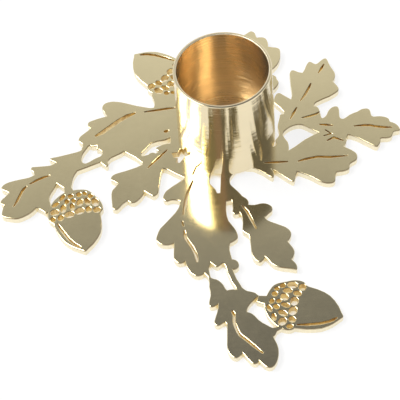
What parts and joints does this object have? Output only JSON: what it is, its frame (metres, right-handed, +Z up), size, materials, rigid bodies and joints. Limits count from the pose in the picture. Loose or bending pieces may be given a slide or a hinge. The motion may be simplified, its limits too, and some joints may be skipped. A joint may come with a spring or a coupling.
{
  "type": "candle holder",
  "caption": "Low brass candle holder: a round cup on a flat plate cut through as a wreath of oak leaves and acorns.",
  "frame": {"origin": "on the cup's axis, at the plate's underside", "axes": "+Z is up along the cup's axis, -Y is the front as pictured, +X is to the right"},
  "size_m": [0.1019, 0.1026, 0.028],
  "materials": {
    "plate_brass": "polished and lacquered, with fine hairlines",
    "cup_brass": "polished tube",
    "floor_brass": "turned, slightly dull",
    "rivet_brass": "filed flush"
  },
  "bodies": {
    "root": {"oak_leaf_plate": "plate_brass", "cup_tube": "cup_brass", "cup_floor": "floor_brass", "fixing_rivet": "rivet_brass"}
  },
  "joints": []
}
